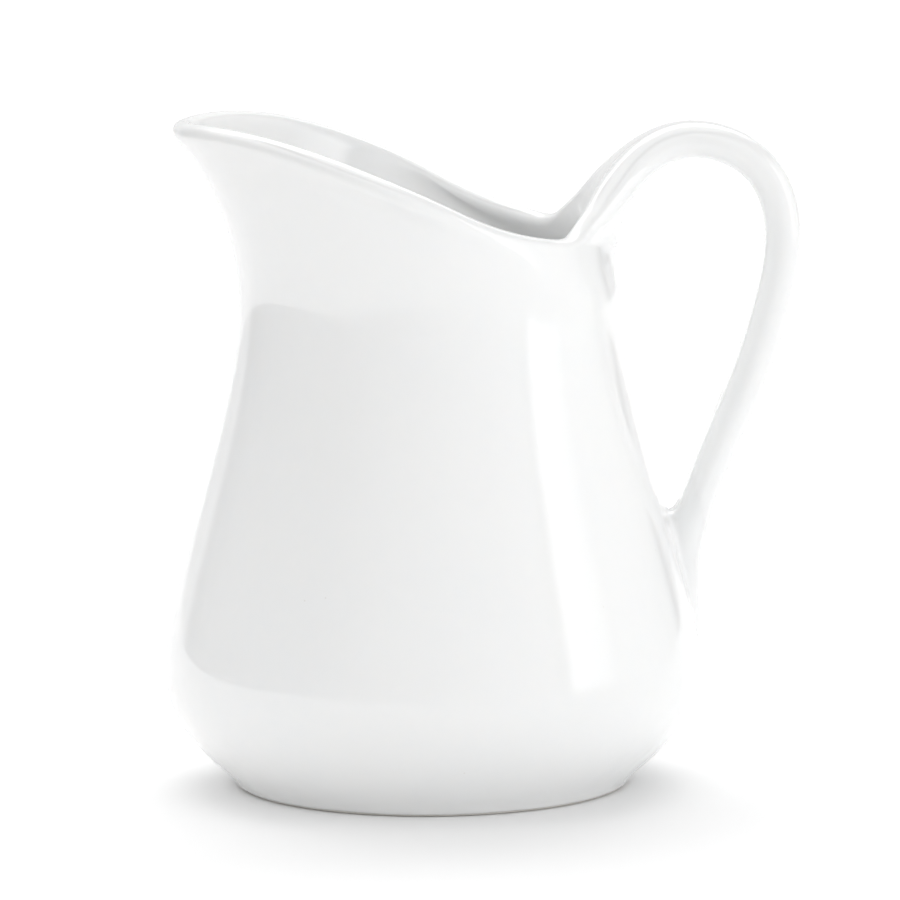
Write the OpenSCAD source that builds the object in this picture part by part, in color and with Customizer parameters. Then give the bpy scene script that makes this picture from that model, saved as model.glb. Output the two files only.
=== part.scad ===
// Ceramic pitcher: a small porcelain milk jug with a rounded belly, a pulled spout and a strap handle.
// Millimetres, Z up. The foot stands on z = 0 round the Z axis, the spout points to -X and the handle to +X.

/* [Body] */
// Radius of the ring that the pitcher stands on
foot_r = 31.9; // [30:0.1:34]
// Height of the bare foot ring
foot_h = 1.2; // [0.8:0.1:2]
// Width of the bare ring where it meets the table
foot_w = 3.4; // [2:0.1:5]
// Slope of the wall just above the foot
foot_slope = 50.5; // [44:0.5:56]
// Radius of the belly at its widest level
belly_r = 44; // [42:0.1:47]
// Height of the belly's widest level
belly_z = 19.2; // [17:0.1:22]
// Radius of the neck at its narrowest level
waist_r = 31.2; // [29:0.1:33]
// Height of the neck's narrowest level
waist_z = 79.6; // [76:0.1:81]
// Thickness of the cast wall
wall = 2.8; // [2.2:0.1:3.2]
// Height of the floor inside
floor_z = 5; // [4:0.1:7]

/* [Mouth] */
// Reach of the spout's rim from the axis
spout_x = 40.8; // [37:0.1:44]
// Height of the spout's rim
spout_z = 106.9; // [102:0.1:110]
// Distance of the rim from the axis at the handle
back_x = 29.5; // [28.5:0.1:30.5]
// Height of the rim at the handle
back_z = 89; // [88:0.1:91]
// Half the width of the mouth across the jug
mouth_half = 34.3; // [32:0.1:37]
// Radius of the rolled lip
lip_r = 1.75; // [1.5:0.05:2]
// How far the lip stands out from the wall at the spout
lip_out = 0.4; // [0:0.05:0.8]

/* [Handle] */
// Half the thickness of the strap
strap_h = 2.9; // [2.4:0.1:3.2]
// Half the width of the strap between its rounded edges
strap_w = 1.5; // [1:0.1:2.5]
// Extra half width of the handle's root, where it spreads along the rim
root_spread = 15; // [12:0.5:17]
// Length over which the root narrows to the strap
root_length = 24; // [20:1:28]
// Height of the slip pad under the rim
pad_h = 7.6; // [5:0.1:8]
// Thickness of the slip pad at the rim
pad_t = 1.75; // [1:0.05:2]
// Thickness of the slip bed under the tail
bed_t = 0.2; // [0.15:0.05:0.4]

/* [Output] */
// One piece, or all of them

/* [Hidden] */

glaze = [0.96, 0.96, 0.95];
bare_clay = [0.86, 0.84, 0.8];
slip = [0.93, 0.93, 0.92];

// Reaches of the wall's curves from their ends, which set how full they are.
foot_reach = 4;
shoulder_reach = 12.5;
neck_reach = 18.6;
foot_top_r = foot_r + foot_h / tan(foot_slope);
foot_reach_r = foot_top_r + foot_reach * cos(foot_slope);
belly_reach = shoulder_reach * sqrt((belly_r - foot_reach_r) / (belly_r - waist_r));

// The mouth's plan and the rise of its rim.
mouth_round = 1.9;
spout_pinch = 3.5;
spout_point = 1.8;
rim_sweep = 1.58;
rim_crown = 2;
lip_fade = 2.6;

// Under the foot.
recess_z = 1.9;
foot_inner_r = foot_top_r - foot_w - 1.4;
floor_r = 24;

// The handle's centre line in the XZ plane: control points of a uniform cubic B-spline.
strap_path = [
    [31.7, 80.5], [25.8, 88.1], [31.7, 101], [42, 107.1], [55.2, 102.4], [58.8, 90.3], [56.3, 78.5],
    [52.8, 67.1], [47.8, 56.2], [43.3, 45.2], [40.5, 33.4], [42.9, 21.4], [44, 10]
];
strap_end = 9.85; // where the tail ends, in spans of the path
root_rate = 11.3; // length of strap in the path's first span
root_sweep = 1.5; // length over which the root's edges curve up out of the rim
pad_angle = 20;
tail_edge = 0.2; // least thickness of the tail's edges

columns = 72;
step = 0.01;

function mix(a, b, t) = a + (b - a) * t;

function ease(x) = let (c = min(max(x, 0), 1)) c * c * (3 - 2 * c);

function unit(v) = v / norm(v);

function ring(r, z, a) = [r * cos(a), r * sin(a), z];

function bezier(p, t) =
    pow(1 - t, 3) * p[0] + 3 * t * pow(1 - t, 2) * p[1] + 3 * t * t * (1 - t) * p[2] + pow(t, 3) * p[3];

// ---- The wall's outer surface: direction a round the axis, t from the foot (0) to the rim (3).

function rim_edge(a) = [
    (back_x - spout_x) / 2 + (back_x + spout_x) / 2 * cos(a) - mouth_round * (1 - cos(2 * a)),
    (mouth_half - spout_point) * sin(a) + spout_pinch * sin(2 * a) - spout_point * sin(3 * a),
    (back_z + spout_z) / 2 + rim_crown * pow(sin(a), 2)
        - (spout_z - back_z) / 2 * (rim_sweep * cos(a) - (rim_sweep - 1) * pow(cos(a), 3))
];

function foot_curve(a) = [
    ring(foot_top_r, foot_h, a),
    ring(foot_reach_r, foot_h + foot_reach * sin(foot_slope), a),
    ring(belly_r, belly_z - belly_reach, a),
    ring(belly_r, belly_z, a)
];

function shoulder_curve(a) = [
    ring(belly_r, belly_z, a),
    ring(belly_r, belly_z + shoulder_reach, a),
    ring(waist_r, waist_z - neck_reach, a),
    ring(waist_r, waist_z, a)
];

// The neck carries on the shoulder's curvature, except at the back, where it goes straight up to the handle.
function neck_curve(a) =
    let (
        edge = rim_edge(a),
        rise = (edge.z - waist_z) / 3,
        back = pow((1 + cos(a)) / 2, 4),
        carried = waist_r + (belly_r - waist_r) * pow(rise / neck_reach, 2),
        near_rim = mix(ring(carried, 0, a), [edge.x, edge.y, 0], back)
    )
    [
        ring(waist_r, waist_z, a),
        ring(waist_r, waist_z + rise, a),
        [near_rim.x, near_rim.y, waist_z + 2 * rise],
        edge
    ];

function skin(a, t) =
    t < 1 ? bezier(foot_curve(a), t) : t < 2 ? bezier(shoulder_curve(a), t - 1) : bezier(neck_curve(a), t - 2);

function skin_normal(a, t) =
    let (s = min(max(t, step), 3 - step))
    unit(cross(skin(a + step, s) - skin(a - step, s), skin(a, s + step) - skin(a, s - step)));

// How much of the lip's roll the wall has at t, from 0 to 1.
function roll(a, t) = t < 2 ? 0 : exp(-pow((3 - t) * (rim_edge(a).z - waist_z) / lip_fade, 2));

function outer(a, t) = skin(a, t) + skin_normal(a, t) * lip_out * roll(a, t) * (1 - cos(a)) / 2;

function inner(a, t) = outer(a, t) - skin_normal(a, t) * mix(wall, 2 * lip_r, roll(a, t));

function lip_centre(a) = outer(a, 3) - skin_normal(a, 3) * lip_r;

function lip_up(a) = unit(cross(skin_normal(a, 3), lip_centre(a + 1) - lip_centre(a - 1)));

// A point on the round lip, from the outer side (0) over the top (90) to the inner side (180).
function lip(a, turn) = lip_centre(a) + lip_r * (cos(turn) * skin_normal(a, 3) + sin(turn) * lip_up(a));

function inner_bowl(a, t) = bezier([
    ring(belly_r - wall, belly_z, a),
    ring(belly_r - wall, belly_z - 8, a),
    ring(floor_r + 9, floor_z, a),
    ring(floor_r, floor_z, a)
], t);

// Outer radius of the belly and shoulder against height.
skin_heights = [for (i = [0:60]) let (p = skin(0, i / 30)) [p.z, p.x]];

// ---- The handle's middle surface: t along the strap, a across it as a direction on the rim.

function spline(p, t) =
    let (i = min(floor(t), len(p) - 4), u = t - i)
    (pow(1 - u, 3) * p[i] + (3 * pow(u, 3) - 6 * u * u + 4) * p[i + 1]
        + (1 + 3 * u + 3 * u * u - 3 * pow(u, 3)) * p[i + 2] + pow(u, 3) * p[i + 3]) / 6;

function strap_point(t) = let (p = spline(strap_path, t)) [p.x, 0, p[1]];

function strap_run(t) = unit(strap_point(t + step) - strap_point(max(t - step, 0)));

function strap_side(t) = let (d = strap_run(t)) [d.z, 0, -d.x];

function strap_bow(a) = lip_centre(0).x - lip_centre(a).x;

function strap_middle(a, t) =
    let (
        bowed = 1 - ease(t / 2.2),
        c = lip_centre(a),
        free = strap_point(t) + [0, c.y, 0] - strap_side(t) * strap_bow(a) * bowed
            + strap_run(t) * (c.z - lip_centre(0).z) * bowed,
        from_rim = c + lip_up(a) * t * root_rate
    )
    mix(from_rim, free, ease(t * root_rate / 4));

function strap_normal(a, t) =
    let (
        slope = (strap_bow(a + 1) - strap_bow(a - 1)) / (lip_centre(a + 1).y - lip_centre(a - 1).y),
        free = unit(strap_side(t) + [0, slope * (1 - ease(t / 2.2)), 0])
    )
    unit(mix(skin_normal(a, 3), free, ease(t * root_rate / 4)));

function strap_half(t) =
    mix(lip_r, strap_h, ease(t / 0.8)) - 0.3 * ease((t - 5) / 4) - 1.45 * pow(max(t - 9, 0), 1.6);

// Half width of the strap between its rounded edges.
function strap_across(t) =
    strap_w + root_spread * pow(1 - pow(min(t * root_rate / root_length, 1), 0.8), 2) - 0.5 * ease((t - 8.6) / 1.4);

function edge_angle(half_width) = asin(half_width / norm([back_x, lip_r]));

function swell(a, t) = 0.03 + pad_t * (1 - ease(t)) * pow(max(1 - pow(a / pad_angle, 2), 0), 2);

// Keeps a point of the tail outside the wall: the hole side on the slip bed, the upper side an edge's thickness above it.
function clear_of_wall(p, up) =
    let (r = norm([p.x, p.y]), least = lookup(p.z, skin_heights) + bed_t + (up > 0 ? 0 : tail_edge))
    p.z > 60 || r >= least ? p : [p.x * least / r, p.y * least / r, p.z];

// ---- Solids lofted through closed rows of points, each row running out along one side and back along the other.

module loft(rows) {
    n = len(rows[0]);
    last = len(rows) - 1;
    points = [for (row = rows) for (p = row) p];
    walls = [
        for (i = [0:last - 1], j = [0:n - 1])
            let (k = (j + 1) % n, here = i * n, next = here + n)
            each [[here + j, next + j, next + k], [here + j, next + k, here + k]]
    ];
    ends = [
        for (j = [0:n / 2 - 2])
            let (m = n - 1 - j, top = last * n)
            each [
                [j, j + 1, m - 1], [j, m - 1, m],
                [top + j, top + m - 1, top + j + 1], [top + j, top + m, top + m - 1]
            ]
    ];
    polyhedron(points, concat(walls, ends), convexity = 10);
}

// ---- Pieces

module vessel_body() {
    turns = [for (j = [0:columns - 1]) 360 * j / columns];
    rows = concat(
        [[for (a = turns) ring(foot_inner_r - 0.6, recess_z, a)]],
        [[for (a = turns) ring(foot_inner_r, foot_h, a)]],
        [for (i = [0:5]) [for (a = turns) outer(a, i / 6)]],
        [for (i = [0:13]) [for (a = turns) outer(a, 1 + i / 14)]],
        [for (i = [0:9]) [for (a = turns) outer(a, 2 + i / 10)]],
        [for (i = [0:6]) [for (a = turns) lip(a, 30 * i)]],
        [for (i = [1:10]) [for (a = turns) inner(a, 3 - i / 10)]],
        [for (i = [1:14]) [for (a = turns) inner(a, 2 - i / 14)]],
        [for (i = [1:5]) [for (a = turns) inner_bowl(a, i / 5)]]
    );
    color(glaze) loft(rows);
}

module foot_ring() {
    color(bare_clay)
        rotate_extrude($fn = 120)
            polygon([
                [foot_r - foot_w, 0],
                [foot_r - 0.4, 0],
                [foot_r, foot_h / 4],
                [foot_top_r, foot_h],
                [foot_inner_r, foot_h],
                [foot_r - foot_w - 0.4, foot_h / 4]
            ]);
}

module handle() {
    across = 8; // divisions of each face
    edge_turns = [72, 36]; // on half of each rounded edge
    sweep_rings = 6;
    sweep_t = root_sweep / root_rate;
    sweep_w = strap_across(sweep_t);
    sweep_rate = (strap_across(0.9 * sweep_t) - sweep_w) / 0.1;
    // Each ring of the strap as [place on the path, half width]: the sweep from the rim first.
    rings = concat(
        [
            for (i = [0:sweep_rings - 1])
                let (u = i / sweep_rings)
                [sweep_t * u * u, sweep_w + 2 * (1 - u) * sweep_rate]
        ],
        [for (i = [0:44]) let (t = mix(sweep_t, strap_end, pow(i / 44, 1.25))) [t, strap_across(t)]]
    );
    function at_edge(i, side) = strap_middle(side * edge_angle(rings[i][1]), rings[i][0]);
    function edge_out(i, side) =
        i == 0
        ? lip_up(side * edge_angle(rings[0][1]))
        : let (
            last = len(rings) - 1,
            run = at_edge(min(i + 1, last), side) - at_edge(i - 1, side),
            n = strap_normal(side * edge_angle(rings[i][1]), rings[i][0])
        )
        side * unit(cross(run, n));
    // A row's points on one face (1 the hole side, -1 the upper side), from the -Y edge to the +Y edge.
    function face(i, up) =
        let (
            t = rings[i][0],
            wide = edge_angle(rings[i][1]),
            h = strap_half(t),
            left = at_edge(i, -1),
            right = at_edge(i, 1),
            left_n = up * strap_normal(-wide, t),
            right_n = up * strap_normal(wide, t)
        )
        concat(
            [for (b = edge_turns) left + h * (cos(b) * left_n + sin(b) * edge_out(i, -1))],
            [
                for (j = [0:across])
                    let (a = wide * (2 * j / across - 1), lift = up > 0 ? swell(a, t) : 0)
                    strap_middle(a, t) + up * strap_normal(a, t) * (h + lift)
            ],
            [
                for (j = [1:len(edge_turns)])
                    let (b = edge_turns[len(edge_turns) - j])
                    right + h * (cos(b) * right_n + sin(b) * edge_out(i, 1))
            ]
        );
    // The groove that sits over the rim's round lip: the same row closing over its top.
    groove_wide = edge_angle(rings[0][1]);
    groove_turns = concat(edge_turns, [for (j = [0:across]) 0], [for (j = [1:2]) edge_turns[2 - j]]);
    groove_angles = concat(
        [for (b = edge_turns) -groove_wide],
        [for (j = [0:across]) groove_wide * (2 * j / across - 1)],
        [for (b = edge_turns) groove_wide]
    );
    function groove(g, up) = [
        for (j = [0:len(groove_turns) - 1])
            let (b = g + (90 - g) * groove_turns[j] / 90)
            lip(groove_angles[j], up > 0 ? b : 180 - b)
    ];
    function side_row(i, up) = [for (p = face(i, up)) clear_of_wall(p, up)];
    function back(row) = [for (j = [1:len(row)]) row[len(row) - j]];
    rows = concat(
        [for (g = [76, 50, 24]) concat(groove(g, 1), back(groove(g, -1)))],
        [for (i = [0:len(rings) - 1]) concat(side_row(i, 1), back(side_row(i, -1)))]
    );
    color(glaze) loft(rows);
}

// Slip smoothed under the rim, between the wall and the back of the handle's root.
module upper_handle_joint() {
    low = 3 - pad_h / (back_z - waist_z);
    angles = [for (j = [0:10]) pad_angle * (j / 5 - 1)];
    rows = [
        for (i = [0:8])
            let (t = mix(3, low, i / 8), down = ease(i / 8))
            concat(
                [for (a = angles) outer(a, t)],
                [
                    for (j = [0:10])
                        let (a = angles[10 - j])
                        outer(a, t) + skin_normal(a, t) * mix(swell(a, 0), 0.03, down)
                ]
            )
    ];
    color(slip) loft(rows);
}

// Slip bed between the belly and the tail of the handle, squeezed out a little round it.
module lower_handle_joint() {
    top_z = 45.5;
    low_z = 20.5;
    half_width = 5.2;
    rows = [
        for (i = [0:16])
            let (
                v = 2 * i / 16 - 1,
                z = mix(top_z, low_z, i / 16),
                half = mix(half_width, 4, i / 16) * sqrt(1.04 - pow(v, 4)),
                r = lookup(z, skin_heights)
            )
            concat(
                [for (j = [0:8]) ring(r, z, asin((j / 4 - 1) * half / r))],
                [
                    for (j = [0:8])
                        let (q = 1 - j / 4)
                        ring(r + 0.03 + (bed_t - 0.03) * (1 - pow(q, 6)) * ease(4 * (1 - abs(v))), z, asin(q * half / r))
                ]
            )
    ];
    color(slip) loft(rows);
}

vessel_body();
foot_ring();
handle();
upper_handle_joint();
lower_handle_joint();
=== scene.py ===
import math

import bpy
import numpy as np
from mathutils import Matrix, Vector


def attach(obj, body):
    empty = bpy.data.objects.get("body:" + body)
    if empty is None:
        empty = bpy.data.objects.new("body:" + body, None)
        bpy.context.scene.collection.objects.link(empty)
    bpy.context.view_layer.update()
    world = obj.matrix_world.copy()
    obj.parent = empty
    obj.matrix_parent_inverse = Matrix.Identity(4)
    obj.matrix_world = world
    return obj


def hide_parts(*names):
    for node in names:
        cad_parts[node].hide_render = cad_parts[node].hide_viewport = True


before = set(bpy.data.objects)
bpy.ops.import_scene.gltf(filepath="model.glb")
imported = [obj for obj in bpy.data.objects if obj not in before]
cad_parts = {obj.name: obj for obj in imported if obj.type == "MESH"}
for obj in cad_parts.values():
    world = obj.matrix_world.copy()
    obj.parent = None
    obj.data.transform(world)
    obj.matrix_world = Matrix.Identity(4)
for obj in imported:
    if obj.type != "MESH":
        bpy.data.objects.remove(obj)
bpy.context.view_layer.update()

MM = 0.001

# ---- Dimensions in millimetres, as in part.scad ----------------------------------------------------------------------

FOOT_R, FOOT_H, FOOT_SLOPE = 31.9, 1.2, math.radians(50.5)
BELLY_R, BELLY_Z = 44.0, 19.2
WAIST_R, WAIST_Z = 31.2, 79.6
WALL, FLOOR_Z, FLOOR_R = 2.8, 5.0, 24.0
SPOUT_X, SPOUT_Z, BACK_X, BACK_Z, MOUTH_HALF = 40.8, 106.9, 29.5, 89.0, 34.3
LIP_R, LIP_OUT, LIP_FADE = 1.75, 0.4, 2.6
STRAP_H, STRAP_W = 2.9, 1.5
PAD_H, PAD_T, PAD_ANGLE = 7.6, 1.75, math.radians(20)
FOOT_REACH, SHOULDER_REACH, NECK_REACH = 4.0, 12.5, 18.6
MOUTH_ROUND, SPOUT_PINCH, SPOUT_POINT = 1.9, 3.5, 1.8
RIM_SWEEP, RIM_CROWN = 1.58, 2.0
RECESS_Z = 1.9
ROOT_RATE, ROOT_SPREAD, ROOT_LENGTH, ROOT_SWEEP = 11.3, 15.0, 24.0, 1.5
STRAP_PATH = np.array([
    (31.7, 80.5), (25.8, 88.1), (31.7, 101), (42, 107.1), (55.2, 102.4), (58.8, 90.3), (56.3, 78.5),
    (52.8, 67.1), (47.8, 56.2), (43.3, 45.2), (40.5, 33.4), (42.9, 21.4), (44, 10),
])

FOOT_TOP_R = FOOT_R + FOOT_H / math.tan(FOOT_SLOPE)
FOOT_REACH_R = FOOT_TOP_R + FOOT_REACH * math.cos(FOOT_SLOPE)
BELLY_REACH = SHOULDER_REACH * math.sqrt((BELLY_R - FOOT_REACH_R) / (BELLY_R - WAIST_R))


def mix(a, b, t):
    return a + (b - a) * t


def ease(x):
    c = np.clip(x, 0, 1)
    return c * c * (3 - 2 * c)


def unit(v):
    return v / np.linalg.norm(v, axis=-1, keepdims=True)


def ring(r, z, a):
    return np.stack(np.broadcast_arrays(r * np.cos(a), r * np.sin(a), z), -1).astype(float)


def bezier(p, t):
    t = t[..., None]
    return (1 - t) ** 3 * p[0] + 3 * t * (1 - t) ** 2 * p[1] + 3 * t * t * (1 - t) * p[2] + t**3 * p[3]


# ---- The wall: direction a round the axis in radians, t from the foot (0) to the rim (3) -----------------------------

def rim_edge(a):
    """The line of the rim, where the wall's outer skin ends."""
    c, s = np.cos(a), np.sin(a)
    x = (BACK_X - SPOUT_X) / 2 + (BACK_X + SPOUT_X) / 2 * c - MOUTH_ROUND * (1 - np.cos(2 * a))
    y = (MOUTH_HALF - SPOUT_POINT) * s + SPOUT_PINCH * np.sin(2 * a) - SPOUT_POINT * np.sin(3 * a)
    z = (BACK_Z + SPOUT_Z) / 2 + RIM_CROWN * s * s
    z = z - (SPOUT_Z - BACK_Z) / 2 * (RIM_SWEEP * c - (RIM_SWEEP - 1) * c**3)
    return np.stack(np.broadcast_arrays(x, y, z), -1)


def skin(a, t):
    """The wall's outer face before the bead of the rim is added."""
    a, t = np.broadcast_arrays(np.asarray(a, float), np.asarray(t, float))
    foot = [
        ring(FOOT_TOP_R, FOOT_H, a),
        ring(FOOT_REACH_R, FOOT_H + FOOT_REACH * math.sin(FOOT_SLOPE), a),
        ring(BELLY_R, BELLY_Z - BELLY_REACH, a),
        ring(BELLY_R, BELLY_Z, a),
    ]
    shoulder = [
        ring(BELLY_R, BELLY_Z, a),
        ring(BELLY_R, BELLY_Z + SHOULDER_REACH, a),
        ring(WAIST_R, WAIST_Z - NECK_REACH, a),
        ring(WAIST_R, WAIST_Z, a),
    ]
    edge = rim_edge(a)
    rise = (edge[..., 2] - WAIST_Z) / 3
    back = ((1 + np.cos(a)) / 2) ** 4
    carried = WAIST_R + (BELLY_R - WAIST_R) * (rise / NECK_REACH) ** 2
    near_rim = mix(ring(carried, 0, a), edge * [1, 1, 0], back[..., None])
    near_rim[..., 2] = WAIST_Z + 2 * rise
    neck = [ring(WAIST_R, WAIST_Z, a), ring(WAIST_R, WAIST_Z + rise, a), near_rim, edge]
    low, mid, high = bezier(foot, t), bezier(shoulder, t - 1), bezier(neck, t - 2)
    return np.where(t[..., None] < 1, low, np.where(t[..., None] < 2, mid, high))


def skin_normal(a, t):
    d = 1e-4
    s = np.clip(t, d, 3 - d)
    return unit(np.cross(skin(a + d, s) - skin(a - d, s), skin(a, s + d) - skin(a, s - d)))


def roll(a, t):
    """How much of the rolled bead there is: 1 at the rim, fading out a little below it."""
    r = np.exp(-(((3 - t) * (rim_edge(a)[..., 2] - WAIST_Z) / LIP_FADE) ** 2))
    return np.where(t < 2, 0, r)


def outer(a, t):
    lift = LIP_OUT * roll(a, t) * (1 - np.cos(a)) / 2
    return skin(a, t) + skin_normal(a, t) * lift[..., None]


def inner(a, t):
    return outer(a, t) - skin_normal(a, t) * mix(WALL, 2 * LIP_R, roll(a, t))[..., None]


def lip_centre(a):
    return outer(a, 3.0 + 0 * a) - skin_normal(a, 3.0 + 0 * a) * LIP_R


def lip_up(a):
    d = math.radians(1)
    return unit(np.cross(skin_normal(a, 3.0 + 0 * a), lip_centre(a + d) - lip_centre(a - d)))


def lip(a, turn):
    """The round top of the rim; turn runs from the outside (0) over the top to the inside (pi)."""
    across, up = skin_normal(a, 3.0 + 0 * a), lip_up(a)
    return lip_centre(a) + LIP_R * (np.cos(turn)[..., None] * across + np.sin(turn)[..., None] * up)


def inner_bowl(a, t):
    """The inside's curve from the belly (0) down to the floor (1)."""
    return bezier([
        ring(BELLY_R - WALL, BELLY_Z, a),
        ring(BELLY_R - WALL, BELLY_Z - 8, a),
        ring(FLOOR_R + 9, FLOOR_Z, a),
        ring(FLOOR_R, FLOOR_Z, a),
    ], t + 0 * a)


# ---- The handle's middle surface: t along the strap, a across it as a direction on the rim ---------------------------

def strap_point(t):
    i = np.clip(np.floor(t).astype(int), 0, len(STRAP_PATH) - 4)
    u = (t - i)[..., None]
    p = [STRAP_PATH[i + k] for k in range(4)]
    q = (1 - u) ** 3 * p[0] + (3 * u**3 - 6 * u * u + 4) * p[1]
    q = q + (1 + 3 * u + 3 * u * u - 3 * u**3) * p[2] + u**3 * p[3]
    return np.stack([q[..., 0], 0 * q[..., 0], q[..., 1]], -1) / 6


def strap_run(t):
    d = 1e-3
    return unit(strap_point(t + d) - strap_point(t - d))


def strap_side(t):
    d = strap_run(t)
    return np.stack([d[..., 2], 0 * d[..., 0], -d[..., 0]], -1)


LIP_BACK = lip_centre(np.zeros(1))[0]


def strap_bow(a):
    """How far the rim lies forward of its rearmost point, which bows the strap's root."""
    return LIP_BACK[0] - lip_centre(a)[..., 0]


def strap_middle(a, t):
    """The strap starts as the rim's own bead and becomes a free strap a few millimetres up."""
    a, t = np.broadcast_arrays(np.asarray(a, float), np.asarray(t, float))
    bowed = (1 - ease(t / 2.2))[..., None]
    c = lip_centre(a)
    free = strap_point(t) - strap_side(t) * strap_bow(a)[..., None] * bowed
    free = free + strap_run(t) * (c[..., 2:] - LIP_BACK[2]) * bowed
    free[..., 1] += c[..., 1]
    from_rim = c + lip_up(a) * (t * ROOT_RATE)[..., None]
    return mix(from_rim, free, ease(t * ROOT_RATE / 4)[..., None])


def strap_normal(a, t):
    a, t = np.broadcast_arrays(np.asarray(a, float), np.asarray(t, float))
    d = math.radians(1)
    slope = (strap_bow(a + d) - strap_bow(a - d)) / (lip_centre(a + d) - lip_centre(a - d))[..., 1]
    lean = slope * (1 - ease(t / 2.2))
    free = unit(strap_side(t) + np.stack([0 * lean, lean, 0 * lean], -1))
    return unit(mix(skin_normal(a, 3.0 + 0 * a), free, ease(t * ROOT_RATE / 4)[..., None]))


def strap_half(t):
    """Half the strap's thickness, with a thinner tail."""
    taper = 0.3 * ease((t - 5) / 4) + 1.45 * np.maximum(t - 9, 0) ** 1.6
    return mix(LIP_R, STRAP_H, ease(t / 0.8)) - taper


def strap_across(t):
    """Half the width between the centres of the strap's round edges, wide at the root."""
    spread = (1 - np.clip(t * ROOT_RATE / ROOT_LENGTH, 0, 1) ** 0.8) ** 2
    return STRAP_W + ROOT_SPREAD * spread - 0.5 * ease((t - 8.6) / 1.4)


def edge_angle(half_width):
    """The direction on the rim that lies half_width to the side of the handle."""
    return np.arcsin(half_width / math.hypot(BACK_X, LIP_R))


def swell(a, t):
    """Thickness of the slip under the rim; it continues under the strap's root."""
    return PAD_T * (1 - ease(t)) * np.maximum(1 - (a / PAD_ANGLE) ** 2, 0) ** 2


# ---- Meshes ----------------------------------------------------------------------------------------------------------

def casting(p):
    """Slow waves of a few hundredths of a millimetre, as a slip-cast and hand-sponged wall has."""
    x, y, z = p[..., 0], p[..., 1], p[..., 2]
    a = np.arctan2(y, x)
    wave = 0.035 * np.sin(3 * a + 0.06 * z + 0.7) + 0.022 * np.sin(5 * a - 0.09 * z + 2.1)
    wave = wave + 0.018 * np.sin(0.19 * z + 2 * a) + 0.006 * np.sin(17 * a + 0.05 * z)
    still = mix(math.radians(13), math.radians(44), ease((z - 60) / 20))  # none where the handle joins
    return wave * ease((z - 1.2) / 10) * ease((np.abs(a) - still) / 0.5)


def add_mesh(name, points, faces, material):
    mesh = bpy.data.meshes.new(name)
    mesh.from_pydata((np.asarray(points).reshape(-1, 3) * MM).tolist(), [], faces)
    mesh.update()
    mesh.polygons.foreach_set("use_smooth", [True] * len(mesh.polygons))
    mesh.materials.append(material)
    o = bpy.data.objects.new(name, mesh)
    bpy.context.scene.collection.objects.link(o)
    return o


def grid_faces(rows, columns, flip=False):
    """Quads of a rows x columns grid of points, each row round a loop."""
    i, j = np.meshgrid(np.arange(rows - 1), np.arange(columns), indexing="ij")
    k = (j + 1) % columns
    q = np.stack([i * columns + j, i * columns + k, (i + 1) * columns + k, (i + 1) * columns + j], -1)
    q = q.reshape(-1, 4)
    return (q[:, ::-1] if flip else q).tolist()


def fan(loop, centre, flip=False):
    """Triangles from a loop of points to the one at its centre."""
    n = len(loop)
    tris = [[loop[j], loop[(j + 1) % n], centre] for j in range(n)]
    return [t[::-1] for t in tris] if flip else tris


def ladder(n, start, base, flip=False):
    """Closes a symmetrical loop of n points across, from the point on its axis at start to the one opposite."""
    def at(i):
        return base + (start + i) % n

    rungs = [[at(0), at(1), at(-1)]]
    rungs += [[at(i), at(i + 1), at(-i - 1), at(-i)] for i in range(1, n // 2 - 1)]
    rungs.append([at(n // 2 - 1), at(n // 2), at(1 - n // 2)])
    return [r[::-1] for r in rungs] if flip else rungs


COLUMNS = 288  # points round the body and the foot
INSIDE_DOME = 0.5  # how far the floor inside rises to its middle
RECESS_DOME, RECESS_R = 0.45, 28.0  # how far the recess under the foot rises to its middle, and its radius


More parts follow.
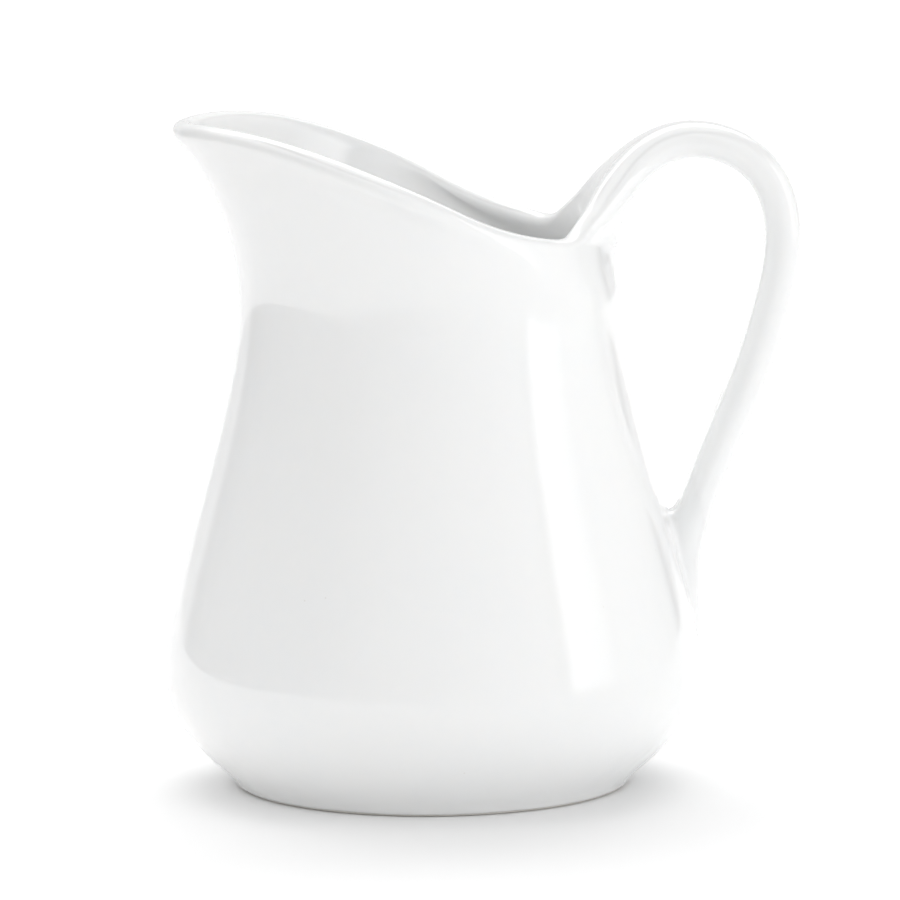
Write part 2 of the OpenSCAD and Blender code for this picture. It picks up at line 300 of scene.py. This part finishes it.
def build_body(material):
    """The wall in one skin: underside, outside, rolled rim, inside and floor, as rings of points."""
    a = np.arange(COLUMNS) * 2 * math.pi / COLUMNS
    slope = np.array([math.cos(FOOT_SLOPE), math.sin(FOOT_SLOPE)])
    top = np.array([FOOT_TOP_R, FOOT_H])
    # underside, out to the bare ring and over its hidden top
    under = [(r, RECESS_Z + RECESS_DOME * (1 - (r / RECESS_R) ** 2)) for r in (2, 6, 10, 14, 18, 22, 25, 27)]
    under += [(27.9, RECESS_Z - 0.05), (28.25, RECESS_Z - 0.35), (28.3, RECESS_Z - 0.75)]
    under += [(28.3, 0.62), (28.7, 0.58), (31.2, 0.58)]
    rows = [ring(r, z, a) for r, z in under]

    def band(surface, places):
        rows.extend(surface(a, np.full_like(a, place)) for place in places)

    # the glaze's lower edge, rolled a little over the foot's outer side
    wobble = 0.05 * np.sin(7 * a + 1) + 0.035 * np.sin(16 * a) + 0.02 * np.sin(41 * a + 2)
    for u, out in ((0.0, -0.16), (0.03, -0.05), (0.1, 0.01), (0.22, 0.045), (0.4, 0.05), (0.62, 0.03), (0.9, 0.01)):
        s = (FOOT_H - 0.36) / slope[1] * (1 - u) + (1 - u) * wobble
        r = top[0] - slope[0] * s + out * slope[1]
        z = top[1] - slope[1] * s - out * slope[0]
        rows.append(ring(r, z, a))
    band(outer, [i / 25 for i in range(25)])
    band(outer, [1 + i / 70 for i in range(70)])
    band(outer, [3 - (1 - i / 56) ** 1.35 for i in range(56)])
    band(lip, [math.pi * i / 24 for i in range(25)])
    band(inner, [3 - (i / 44) ** 1.35 for i in range(1, 45)])
    band(inner, [2 - i / 40 for i in range(1, 41)])
    band(inner_bowl, [i / 16 for i in range(1, 17)])
    for i in range(1, 10):
        r = mix(FLOOR_R, 2.0, i / 9)
        rows.append(ring(r, FLOOR_Z + INSIDE_DOME * (1 - (r / FLOOR_R) ** 2), a))
    grid = np.array(rows)
    # slow casting waves along each point's own normal
    run = np.gradient(grid, axis=0)
    turn = np.roll(grid, -1, axis=1) - np.roll(grid, 1, axis=1)
    n = np.cross(turn, run)
    n /= np.maximum(np.linalg.norm(n, axis=-1, keepdims=True), 1e-9)
    grid = grid + n * casting(grid)[..., None]
    faces = grid_faces(len(rows), COLUMNS)
    points = grid.reshape(-1, 3)
    centres = np.array([[0, 0, points[0][2] + 0.01], [0, 0, points[-1][2] + 0.01]])
    first, last = list(range(COLUMNS)), list(range((len(rows) - 1) * COLUMNS, len(rows) * COLUMNS))
    faces += fan(first, len(points), flip=True) + fan(last, len(points) + 1)
    return add_mesh("Cast_body", np.vstack([points, centres]), faces, material)


def build_foot(material):
    """The bare ring under the foot: ground flat where it stands, with softened edges."""
    a = np.arange(COLUMNS) * 2 * math.pi / COLUMNS
    rows = []
    chip = 0.03 * np.sin(11 * a) + 0.02 * np.sin(29 * a + 1) + 0.015 * np.sin(67 * a + 3)
    # radius and height, from the hidden top down the inside, under the ring and up the outside
    shape = [
        (28.5, 0.95), (28.3, 0.75), (28.32, 0.5), (28.42, 0.28), (28.58, 0.1), (28.78, 0.015), (28.95, 0.0),
        (30.1, 0.0), (31.3, 0.0), (31.5, 0.012), (31.72, 0.07), (31.92, 0.2), (32.08, 0.38), (32.2, 0.55), (31.9, 0.95),
    ]
    for r, z in shape:
        rows.append(ring(r + chip * (0.6 if z > 0.005 else 1), z, a))
    rows.append(ring(30.1, 0.95, a))
    faces = grid_faces(len(rows), COLUMNS)
    top = (len(rows) - 1) * COLUMNS
    faces += [[top + j, top + (j + 1) % COLUMNS, (j + 1) % COLUMNS, j] for j in range(COLUMNS)]
    return add_mesh("Bare_foot_ring", np.array(rows), faces, material)


ROOT_TAIL = 1.6  # how far each edge of the root runs on along the rim as it sinks into it
TAIL_END = 9.98  # where on the strap's path the tail stops, inside the belly's wall


def build_handle(material):
    """The strap, with round edges that sweep out into the rim at its root and a hidden start inside the rim."""
    across, turns = 56, 16  # steps across a face and round half an edge
    sweep, length, hidden = 26, 230, 7  # rows in the sweep out to the rim, along the strap and inside the rim
    t_list, w_list, sink = [], [], []
    sweep_t = ROOT_SWEEP / ROOT_RATE
    sweep_w = strap_across(sweep_t)
    sweep_rate = (strap_across(0.9 * sweep_t) - sweep_w) / 0.1
    for i in range(hidden, 0, -1):
        past = ROOT_TAIL * i / hidden
        t_list.append(-0.22 * past * past / ROOT_RATE)
        w_list.append(sweep_w + 2 * sweep_rate + past)
        sink.append(0.1 * (past / ROOT_TAIL) ** 2)
    for i in range(sweep):
        u = i / sweep
        t_list.append(sweep_t * u * u)
        w_list.append(sweep_w + 2 * sweep_rate * (1 - u))
        sink.append(0)
    for i in range(length):
        t = mix(sweep_t, TAIL_END, (i / (length - 1)) ** 1.25)
        t_list.append(t)
        w_list.append(strap_across(np.array(t)))
        sink.append(0)
    t = np.array(t_list, float)
    wide = edge_angle(np.array(w_list, float))
    half = strap_half(t) - np.array(sink)
    edges = {}
    for side in (-1, 1):
        c = strap_middle(side * wide, t)
        n = strap_normal(side * wide, t)
        run = np.gradient(c, axis=0)
        out = side * unit(np.cross(run, n))
        edges[side] = (c, n, out)
    q = np.linspace(-1, 1, across + 1)
    aa = wide[:, None] * q[None]
    tt = np.repeat(t[:, None], across + 1, 1)
    mid, norm = strap_middle(aa, tt), strap_normal(aa, tt)
    lift = swell(aa, np.maximum(tt, 0))
    hole = mid + norm * (half[:, None] + lift)[..., None]
    upper = mid - norm * half[:, None, None]
    turn = np.linspace(0, math.pi, turns * 2 + 1)[1:-1]

    def edge(side, order):
        c, n, out = edges[side]
        ang = turn if order > 0 else turn[::-1]
        return c[:, None] + half[:, None, None] * (
            np.cos(ang)[None, :, None] * n[:, None] + np.sin(ang)[None, :, None] * out[:, None])

    # once round: the face towards the finger gap from -Y to +Y, the +Y edge, the other face back, the -Y edge
    loop = np.concatenate([hole, edge(1, 1), upper[:, ::-1], edge(-1, -1)], axis=1)
    rows, n = loop.shape[:2]
    faces = grid_faces(rows, n)
    middle = n - turns  # the middle of the -Y edge
    faces += ladder(n, middle, 0, flip=True) + ladder(n, middle, (rows - 1) * n)
    return add_mesh("Strap_handle", loop, faces, material)


SINK = 0.004  # how far a joint's feathered edge lies under the surface it joins
TUCK = 1.2  # how far the slip under the rim runs up under the strap
PAD_THICKNESS = 0.9  # from the slip's face to its hidden back, inside the wall


def build_pad(material):
    """Slip smoothed under the rim behind the handle's root; its edges sink into the wall."""
    rows, columns, tucked = 64, 81, 6  # rows down the wall, points across, rows tucked up under the strap
    low = 3 - PAD_H / (BACK_Z - WAIST_Z)
    q = np.linspace(-1, 1, columns)
    a = q * PAD_ANGLE * 1.03
    face_rows = []
    for i in range(tucked, 0, -1):
        up = TUCK * i / tucked
        t = np.full_like(a, up / ROOT_RATE)
        depth = 0.1 * (up / TUCK) ** 2 + SINK
        p = strap_middle(a, t) + strap_normal(a, t) * (strap_half(t) + swell(a, t) - depth)[:, None]
        face_rows.append(p)
    for i in range(rows):
        u = i / (rows - 1)
        t = np.full_like(a, mix(3.0, low, u))
        hollow = mix((1 - u) ** 2, 1 - ease(u), 0.25)  # thins quickly at first, like a wiped fillet
        lift = swell(a, 0 * a) * hollow - SINK
        face_rows.append(outer(a, t) + skin_normal(a, t) * lift[:, None])
    front = np.array(face_rows)
    outward = skin_normal(a[None] + 0 * front[..., 0], np.full(front.shape[:2], 2.9))
    back = front - outward * PAD_THICKNESS
    loop = np.concatenate([front, back[:, ::-1]], axis=1)
    r, n = loop.shape[:2]
    faces = grid_faces(r, n, flip=True)
    half = n // 2
    for base, flip in ((0, False), ((r - 1) * n, True)):
        for j in range(half - 1):
            f = [base + j, base + j + 1, base + n - 2 - j, base + n - 1 - j]
            faces.append(f[::-1] if flip else f)
    return add_mesh("Upper_slip_joint", loop, faces, material)


# ---- The slip fillet round the tail: a level set of distances to the wall and to the strap ---------------------------

FILLET, CROTCH_FILLET = 2.6, 6.6  # how far the slip's bead reaches, beside the tail and up at the crotch
FILLET_LOW, FILLET_RISE = 34.5, 9.5  # the height where it starts to reach further, and over what rise
MARGIN, DEPTH = 0.25, 0.7  # how far the bead's mesh runs on past its edge, and under the surfaces it joins
FILLET_CELL = 0.2
FILLET_BOX = ((33.1, 49.1), (-12.1, 12.3), (12.6, 57.0))
TAIL = np.linspace(6.0, 9.999, 300)
TAIL_LINE = strap_point(TAIL)
TAIL_SPEED = np.linalg.norm(np.gradient(TAIL_LINE, TAIL, axis=0), axis=-1)
TAIL_ACROSS = lip_centre(edge_angle(strap_across(TAIL)))[:, 1]
WALL_LINE = skin(np.zeros(6000), np.linspace(0.9, 2.0, 6000))
WALL_SLOPE = np.gradient(WALL_LINE[:, 0], WALL_LINE[:, 2])


def tail_place(x, z, s=None):
    """Where along the strap its centre line passes nearest to (x, z), from a first guess s."""
    if s is None:
        s = TAIL[((x[..., None] - TAIL_LINE[:, 0]) ** 2 + (z[..., None] - TAIL_LINE[:, 2]) ** 2).argmin(-1)]
    for _ in range(3):
        p, run = strap_point(s), strap_run(s)
        ahead = (x - p[..., 0]) * run[..., 0] + (z - p[..., 2]) * run[..., 2]
        s = np.clip(s + ahead / np.interp(s, TAIL, TAIL_SPEED), TAIL[0], TAIL[-1])
    return s


def fillet_fields(x, y, z, s):
    """The blended surface of wall and strap, and the limits of the bead that fills their corner; negative inside."""
    p = strap_point(s)
    flat = np.hypot(x - p[..., 0], z - p[..., 2])
    slope = np.interp(z, WALL_LINE[:, 2], WALL_SLOPE)
    wall = (np.hypot(x, y) - np.interp(z, WALL_LINE[:, 2], WALL_LINE[:, 0])) / np.sqrt(1 + slope**2)
    strap = np.hypot(flat, np.maximum(np.abs(y) - np.interp(s, TAIL, TAIL_ACROSS), 0)) - strap_half(s)
    apart = np.abs(wall - strap)
    reach = mix(FILLET, CROTCH_FILLET, ease((z - FILLET_LOW) / FILLET_RISE))
    blend = np.minimum(wall, strap) - np.maximum(reach - apart, 0) ** 3 / (6 * reach**2) + SINK
    limits = np.maximum(np.maximum(wall, strap) - reach - MARGIN, -(np.minimum(wall, strap) + DEPTH))
    return blend, limits


def build_fillet(material):
    """The bead of slip in the corner between the belly and the handle's tail."""
    cell = FILLET_CELL
    xs, ys, zs = (np.arange(low, high, cell) for low, high in FILLET_BOX)
    x, y, z = np.meshgrid(xs, ys, zs, indexing="ij")
    s = np.broadcast_to(tail_place(x[:, 0], z[:, 0])[:, None], x.shape)
    points, faces = surface_net(np.maximum(*fillet_fields(x, y, z, s)), np.array([xs[0], ys[0], zs[0]]), cell)
    # draw the visible face's points exactly on to the blended surface, evening out their spacing as well
    s = tail_place(points[:, 0], points[:, 2])
    blend, limits = fillet_fields(*points.T, s)
    visible = (limits < -0.3 * cell) & (np.abs(blend) < cell)
    quads = np.array(faces)
    ties = np.concatenate([quads[:, [k, (k + 1) % 4]] for k in range(4)])
    ties = ties[visible[ties].all(1)]
    count = np.bincount(ties.ravel(), minlength=len(points))
    even = visible & (count >= 6)
    d = 0.01
    for turn in range(16):
        if turn % 2 == 0 and turn < 12:
            near = np.stack([np.bincount(ties.ravel(), points[ties[:, ::-1].ravel(), k], len(points))
                             for k in range(3)], -1) / np.maximum(count, 1)[:, None]
            points[even] = mix(points[even], near[even], 0.5)
        face = points[visible]
        s = tail_place(face[:, 0], face[:, 2], s[visible] if len(s) == len(points) else s)
        blend = fillet_fields(*face.T, s)[0]
        slope = []
        for axis in range(3):
            moved = face + d * np.eye(3)[axis]
            slope.append(fillet_fields(*moved.T, tail_place(moved[:, 0], moved[:, 2], s))[0] - blend)
        slope = np.stack(slope, -1) / d
        step = blend[:, None] * slope / np.maximum((slope**2).sum(-1), 0.004)[:, None]
        step *= np.minimum(1, 0.4 * cell / np.maximum(np.linalg.norm(step, axis=-1, keepdims=True), 1e-9))
        points[visible] = face - step
    return add_mesh("Lower_slip_joint", points, faces, material)


def surface_net(f, origin, cell):
    """Closed quad mesh of f = 0, one vertex for each cell that the surface crosses."""
    inside = f < 0
    corners = [(i, j, k) for i in (0, 1) for j in (0, 1) for k in (0, 1)]
    nx, ny, nz = (n - 1 for n in f.shape)

    def at(g, c):
        return g[c[0]:c[0] + nx, c[1]:c[1] + ny, c[2]:c[2] + nz]

    count = sum(at(inside, c).astype(int) for c in corners)
    active = (count > 0) & (count < 8)
    total = np.zeros((nx, ny, nz, 3))
    hits = np.zeros((nx, ny, nz))
    for c in corners:
        for axis in range(3):
            if c[axis]:
                continue
            d = list(c)
            d[axis] = 1
            fa, fb = at(f, c), at(f, d)
            cross = (fa < 0) != (fb < 0)
            s = np.where(cross, fa / np.where(cross, fa - fb, 1), 0)
            for k in range(3):
                total[..., k] += np.where(cross, c[k] + (s if k == axis else 0), 0)
            hits += cross
    index = -np.ones((nx, ny, nz), int)
    cells = np.argwhere(active)
    index[active] = np.arange(len(cells))
    local = total[active] / hits[active][:, None]
    points = origin + (cells + local) * cell
    faces = []
    for axis in range(3):
        u, v = [(1, 2), (2, 0), (0, 1)][axis]
        low = [slice(0, n) for n in f.shape]
        high = [slice(0, n) for n in f.shape]
        low[axis], high[axis] = slice(0, f.shape[axis] - 1), slice(1, f.shape[axis])
        a, b = inside[tuple(low)], inside[tuple(high)]
        for e in np.argwhere(a != b):
            if e[u] == 0 or e[v] == 0 or e[u] >= f.shape[u] - 1 or e[v] >= f.shape[v] - 1:
                continue
            quad = []
            for du, dv in ((-1, -1), (0, -1), (0, 0), (-1, 0)):
                c = list(e)
                c[u] += du
                c[v] += dv
                quad.append(int(index[tuple(c)]))
            if not a[tuple(e)]:
                quad.reverse()
            faces.append(quad)
    return points, faces


# ---- Materials -------------------------------------------------------------------------------------------------------

def new_material(name):
    m = bpy.data.materials.new(name)
    m.use_nodes = True
    tree = m.node_tree
    tree.nodes.clear()
    out = tree.nodes.new("ShaderNodeOutputMaterial")
    shader = tree.nodes.new("ShaderNodeBsdfPrincipled")
    tree.links.new(shader.outputs["BSDF"], out.inputs["Surface"])
    return m, tree, shader


def node(tree, kind, inputs=None, **settings):
    n = tree.nodes.new(kind)
    for key, value in settings.items():
        setattr(n, key, value)
    for key, value in (inputs or {}).items():
        if isinstance(value, bpy.types.NodeSocket):
            tree.links.new(value, n.inputs[key])
        else:
            n.inputs[key].default_value = value
    return n


def noise(tree, place, size_mm, detail=2.0, roughness=0.5):
    """Noise whose features are about size_mm across."""
    n = node(tree, "ShaderNodeTexNoise", {"Vector": place, "Scale": 1 / (size_mm * MM), "Detail": detail,
                                          "Roughness": roughness})
    return n.outputs["Fac"]


def remap(tree, value, low, high, to_low, to_high):
    n = node(tree, "ShaderNodeMapRange", {"Value": value, "From Min": low, "From Max": high, "To Min": to_low,
                                          "To Max": to_high})
    return n.outputs["Result"]


def math_node(tree, op, a, b):
    return node(tree, "ShaderNodeMath", {0: a, 1: b}, operation=op).outputs[0]


def blend_colour(tree, fac, a, b):
    n = tree.nodes.new("ShaderNodeMix")
    n.data_type = "RGBA"
    for key, value in ((0, fac), (6, a), (7, b)):
        if isinstance(value, bpy.types.NodeSocket):
            tree.links.new(value, n.inputs[key])
        else:
            n.inputs[key].default_value = value
    return n.outputs[2]


def porcelain(name, white, pooled, shade):
    """White clay under a clear glaze: faint mottling, slight orange peel, rare pinholes and iron specks."""
    m, tree, shader = new_material(name)
    place = node(tree, "ShaderNodeTexCoord").outputs["Object"]
    mottle = noise(tree, place, 22, 3)
    fine = noise(tree, place, 2.4, 3)
    base = blend_colour(tree, remap(tree, mottle, 0.3, 0.7, 0, 1), white, pooled)
    base = blend_colour(tree, remap(tree, fine, 0.35, 0.65, 0, 0.35), base, shade)
    speck = node(tree, "ShaderNodeTexVoronoi", {"Vector": place, "Scale": 1 / (9 * MM)}).outputs["Distance"]
    spots = remap(tree, speck, 0.012, 0.02, 0.3, 0)
    base = blend_colour(tree, spots, base, (0.62, 0.58, 0.52, 1))
    tree.links.new(base, shader.inputs["Base Color"])
    tree.links.new(remap(tree, noise(tree, place, 9, 4), 0.3, 0.7, 0.16, 0.26), shader.inputs["Roughness"])
    peel = noise(tree, place, 3.2, 1)
    ripple = noise(tree, place, 0.9, 2)
    pin = node(tree, "ShaderNodeTexVoronoi", {"Vector": place, "Scale": 1 / (5 * MM)}).outputs["Distance"]
    pits = remap(tree, pin, 0.0, 0.022, -1.0, 0)
    height = math_node(tree, "ADD", peel, math_node(tree, "MULTIPLY", ripple, 0.16))
    height = math_node(tree, "ADD", height, pits)
    bump = node(tree, "ShaderNodeBump", {"Height": height, "Strength": 0.6, "Distance": 0.012 * MM})
    tree.links.new(bump.outputs["Normal"], shader.inputs["Normal"])
    tree.links.new(bump.outputs["Normal"], shader.inputs["Coat Normal"])
    shader.inputs["IOR"].default_value = 1.5
    shader.inputs["Specular IOR Level"].default_value = 0.35
    shader.inputs["Coat Weight"].default_value = 1.0
    shader.inputs["Coat Roughness"].default_value = 0.022
    shader.inputs["Coat IOR"].default_value = 1.58
    shader.inputs["Subsurface Weight"].default_value = 0.12
    shader.inputs["Subsurface Radius"].default_value = (1.0, 0.92, 0.82)
    shader.inputs["Subsurface Scale"].default_value = 1.2 * MM
    return m


def bare_clay(name):
    """Fired porcelain without glaze, ground on the foot: sugar-like grain, and a greyer ring where it has slid."""
    m, tree, shader = new_material(name)
    place = node(tree, "ShaderNodeTexCoord").outputs["Object"]
    grain = noise(tree, place, 0.22, 4, 0.65)
    cloud = noise(tree, place, 4, 3)
    base = blend_colour(tree, remap(tree, cloud, 0.3, 0.7, 0, 1), (0.78, 0.76, 0.72, 1), (0.7, 0.68, 0.64, 1))
    base = blend_colour(tree, remap(tree, grain, 0.45, 0.7, 0, 0.4), base, (0.58, 0.56, 0.53, 1))
    height = node(tree, "ShaderNodeSeparateXYZ", {"Vector": place}).outputs["Z"]
    worn = remap(tree, height, 0.0, 0.12 * MM, 0.45, 0)
    base = blend_colour(tree, worn, base, (0.56, 0.545, 0.52, 1))
    tree.links.new(base, shader.inputs["Base Color"])
    tree.links.new(remap(tree, grain, 0.3, 0.7, 0.72, 0.95), shader.inputs["Roughness"])
    bump = node(tree, "ShaderNodeBump", {"Height": grain, "Strength": 0.7, "Distance": 0.05 * MM})
    tree.links.new(bump.outputs["Normal"], shader.inputs["Normal"])
    shader.inputs["Specular IOR Level"].default_value = 0.3
    return m


glaze = porcelain("Glazed_porcelain", (0.895, 0.899, 0.896, 1), (0.882, 0.891, 0.894, 1), (0.906, 0.905, 0.896, 1))
joint_glaze = porcelain("Glazed_slip", (0.892, 0.897, 0.896, 1), (0.879, 0.889, 0.893, 1), (0.903, 0.903, 0.896, 1))
clay = bare_clay("Bare_porcelain")

# ---- Pieces ----------------------------------------------------------------------------------------------------------

pieces = [
    (build_body(glaze), "vessel_body", "glazed_porcelain"),
    (build_foot(clay), "foot_ring", "bare_porcelain"),
    (build_handle(glaze), "handle", "glazed_porcelain"),
    (build_pad(joint_glaze), "upper_handle_joint", "glazed_porcelain"),
    (build_fillet(joint_glaze), "lower_handle_joint", "glazed_porcelain"),
]
for piece, cad_node, finish in pieces:
    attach(piece, "root")
    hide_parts(cad_node)

# ---- Floor, light and camera -----------------------------------------------------------------------------------------


TABLE = (-0.48, 0.9, -0.34, 2.4)  # where the white table top ends: left, right, front, back (metres)


def build_floor():
    """A plain white table, matt, with the faintest change of tone."""
    m, tree, shader = new_material("White_table")
    place = node(tree, "ShaderNodeTexCoord").outputs["Object"]
    tone = blend_colour(tree, noise(tree, place, 60, 2), (0.965, 0.965, 0.965, 1), (0.975, 0.975, 0.975, 1))
    tree.links.new(tone, shader.inputs["Base Color"])
    shader.inputs["Roughness"].default_value = 0.9
    shader.inputs["Specular IOR Level"].default_value = 0.0
    mesh = bpy.data.meshes.new("Table")
    left, right, front, back = TABLE
    mesh.from_pydata([(left, front, 0), (right, front, 0), (right, back, 0), (left, back, 0)], [], [(0, 1, 2, 3)])
    mesh.materials.append(m)
    o = bpy.data.objects.new("Table", mesh)
    bpy.context.scene.collection.objects.link(o)


# Soft light all round. Each panel has its azimuth in degrees, from the front towards +X, its half width and soft
# edge, its lowest and highest elevation and how softly each ends, then its brightness at its left and right ends.
PANELS = [
    (180, 41, 4, -80, 42, 6, 8, 0.82, 0.82),  # the backdrop
    (-99, 40, 8, -80, 28, 6, 6, 0.45, 0.45),  # the dim room at the left
    (-1, 58, 9, -80, 28, 6, 6, 0.47, 1.2),  # the room in front, lighter towards the window
    (70, 11.5, 4, -80, 32, 6, 6, 2.5, 1.65),  # the window
    (109, 27, 6, -80, 28, 6, 6, 1.4, 0.8),  # the room at the right
    (0, 45, 15, 28, 50, 6, 6, 1.35, 1.35),  # a lamp high in front
    (180, 45, 15, 38, 70, 6, 6, 3.1, 3.1),  # a stronger lamp high up behind
    (-90, 45, 15, 28, 54, 6, 6, 1.4, 1.4),  # a lamp high at the left
    (90, 45, 15, 28, 68, 6, 6, 0.4, 0.4),  # a weaker lamp high at the right
]
CEILING, CEILING_EDGE = 1.25, (60, 72)  # brightness overhead, and the elevations over which it comes in


def build_room():
    """A studio of soft panels: strongest high up behind, dim at the left, with a tall window at the right."""
    world = bpy.data.worlds.new("Studio")
    bpy.context.scene.world = world
    world.use_nodes = True
    tree = world.node_tree
    tree.nodes.clear()
    out = tree.nodes.new("ShaderNodeOutputWorld")
    shader = tree.nodes.new("ShaderNodeBackground")
    tree.links.new(shader.outputs["Background"], out.inputs["Surface"])
    way = node(tree, "ShaderNodeTexCoord").outputs["Generated"]
    xyz = node(tree, "ShaderNodeSeparateXYZ", {"Vector": way}).outputs
    x, y, z = xyz["X"], xyz["Y"], xyz["Z"]

    def soft(value, low, high):
        n = node(tree, "ShaderNodeMapRange", {"Value": value, "From Min": low, "From Max": high},
                 interpolation_type="SMOOTHSTEP")
        return n.outputs["Result"]

    def rise(elevation, blur):
        return soft(z, math.sin(math.radians(elevation - blur)), math.sin(math.radians(elevation + blur)))

    def product(*values):
        total = values[0]
        for v in values[1:]:
            total = math_node(tree, "MULTIPLY", total, v)
        return total

    azimuth = node(tree, "ShaderNodeMath", {0: x, 1: product(y, -1.0)}, operation="ARCTAN2").outputs[0]
    level = product(soft(z, *(math.sin(math.radians(edge)) for edge in CEILING_EDGE)), CEILING)
    for centre, half, edge, low, high, low_blur, high_blur, left, right in PANELS:
        turn = math_node(tree, "SUBTRACT", azimuth, math.radians(centre))
        turn = node(tree, "ShaderNodeMath", {0: turn, 1: math.pi, 2: -math.pi}, operation="WRAP").outputs[0]
        strength = remap(tree, turn, -math.radians(half), math.radians(half), left, right)
        turn = node(tree, "ShaderNodeMath", {0: turn}, operation="ABSOLUTE").outputs[0]
        across = soft(turn, math.radians(half + edge), math.radians(half - edge))
        over = math_node(tree, "SUBTRACT", 1.0, rise(high, high_blur))
        level = math_node(tree, "ADD", level, product(across, rise(low, low_blur), over, strength))
    tree.links.new(level, shader.inputs["Strength"])
    shader.inputs["Color"].default_value = (1.0, 1.0, 1.0, 1)
    world.cycles.sampling_method = "MANUAL"
    world.cycles.sample_map_resolution = 1024


CAMERA_TARGET, CAMERA_DISTANCE = (3.25, 0, 54.8), 1186  # millimetres
CAMERA_TURN, CAMERA_UP, CAMERA_TILT = 3.3, 8.1, -0.42  # degrees to the left, above the table, and rolled
CAMERA_LENS, CAMERA_SENSOR = 290.08, 36  # millimetres: a long lens from over a metre away


def build_camera():
    """A long lens a little above the table, almost square to the line from spout to handle."""
    target, distance = Vector(CAMERA_TARGET) * MM, CAMERA_DISTANCE * MM
    turn, up, tilt = math.radians(CAMERA_TURN), math.radians(CAMERA_UP), math.radians(CAMERA_TILT)
    away = Vector((-math.sin(turn) * math.cos(up), -math.cos(turn) * math.cos(up), math.sin(up)))
    right = Vector((math.cos(turn), -math.sin(turn), 0))
    above = away.cross(right)
    right, above = (math.cos(tilt) * right + math.sin(tilt) * above, math.cos(tilt) * above - math.sin(tilt) * right)
    data = bpy.data.cameras.new("Camera")
    data.sensor_width = CAMERA_SENSOR
    data.lens = CAMERA_LENS
    data.clip_start, data.clip_end = 0.05, 20
    camera = bpy.data.objects.new("Camera", data)
    rotation = Matrix((right, above, away)).transposed().to_4x4()
    camera.matrix_world = Matrix.Translation(target + away * distance) @ rotation
    bpy.context.scene.collection.objects.link(camera)
    bpy.context.scene.camera = camera


build_floor()
build_room()
build_camera()
scene = bpy.context.scene
scene.view_settings.view_transform = "Standard"
scene.view_settings.look = "None"
